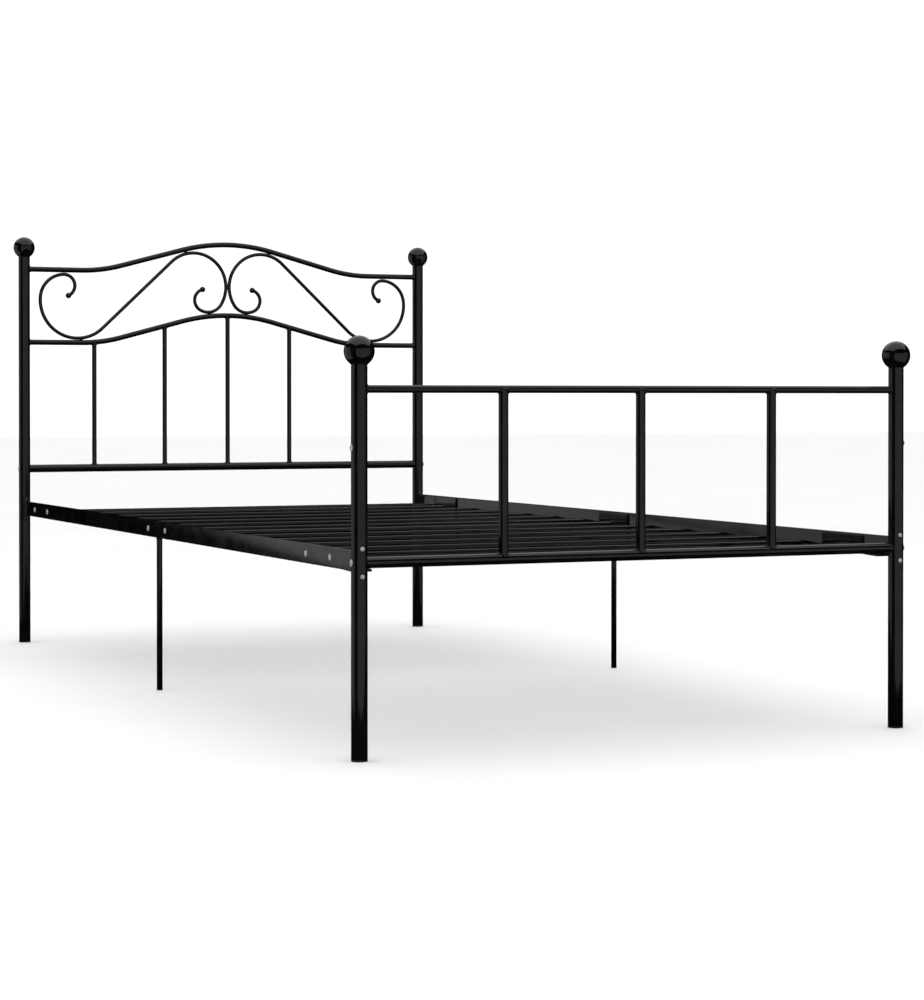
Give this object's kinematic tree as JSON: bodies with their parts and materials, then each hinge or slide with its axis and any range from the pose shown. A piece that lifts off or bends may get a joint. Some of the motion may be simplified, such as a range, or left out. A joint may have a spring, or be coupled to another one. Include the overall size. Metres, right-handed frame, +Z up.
{
  "type": "bed frame",
  "caption": "Single bed frame of black steel tube: ball-topped posts, arched headboard with scrolls and balusters, low footboard, angle side rails, slats and thin middle legs.",
  "frame": {"origin": "on the floor under the middle of the bed, halfway between the four posts", "axes": "+Z up, +Y along the bed towards the headboard, +X to the right for someone at the foot who faces the headboard"},
  "size_m": [1.0134, 2.0974, 0.9162],
  "materials": {
    "black_coat": "semi-gloss powder coat",
    "black_gloss": "glossy",
    "black_plastic": "matte",
    "zinc": "bright zinc plate"
  },
  "bodies": {
    "root": {"ball_finial_foot_left": "black_gloss", "ball_finial_foot_right": "black_gloss", "ball_finial_head_left": "black_gloss", "ball_finial_head_right": "black_gloss", "bottom_rail_bolt_foot_left": "zinc", "bottom_rail_bolt_foot_right": "zinc", "cross_member_foot": "black_coat", "cross_member_head": "black_coat", "cross_member_middle": "black_coat", "cross_rail_bolt_head_left": "zinc", "cross_rail_bolt_head_right": "zinc", "foot_plug_foot_left": "black_plastic", "foot_plug_foot_right": "black_plastic", "foot_plug_head_left": "black_plastic", "foot_plug_head_right": "black_plastic", "footboard_baluster_1": "black_coat", "footboard_baluster_2": "black_coat", "footboard_baluster_3": "black_coat", "footboard_bottom_rail": "black_coat", "footboard_top_rail": "black_coat", "headboard_baluster_1": "black_coat", "headboard_baluster_2": "black_coat", "headboard_baluster_3": "black_coat", "headboard_baluster_4": "black_coat", "headboard_baluster_5": "black_coat", "headboard_cross_rail": "black_coat", "headboard_lower_rail": "black_coat", "headboard_scroll_left": "black_coat", "headboard_scroll_right": "black_coat", "headboard_top_rail": "black_coat", "middle_leg_left": "black_coat", "middle_leg_right": "black_coat", "post_bolt_foot_left_lower": "zinc", "post_bolt_foot_left_upper": "zinc", "post_bolt_foot_right_lower": "zinc", "post_bolt_foot_right_upper": "zinc", "post_bolt_head_left_lower": "zinc", "post_bolt_head_left_upper": "zinc", "post_bolt_head_right_lower": "zinc", "post_bolt_head_right_upper": "zinc", "post_foot_left": "black_coat", "post_foot_right": "black_coat", "post_head_left": "black_coat", "post_head_right": "black_coat", "side_rail_left": "black_coat", "side_rail_right": "black_coat", "slat_1": "black_coat", "slat_10": "black_coat", "slat_11": "black_coat", "slat_12": "black_coat", "slat_2": "black_coat", "slat_3": "black_coat", "slat_4": "black_coat", "slat_5": "black_coat", "slat_6": "black_coat", "slat_7": "black_coat", "slat_8": "black_coat", "slat_9": "black_coat", "spare_bolt_foot_left": "zinc", "spare_bolt_foot_right": "zinc"}
  },
  "joints": []
}
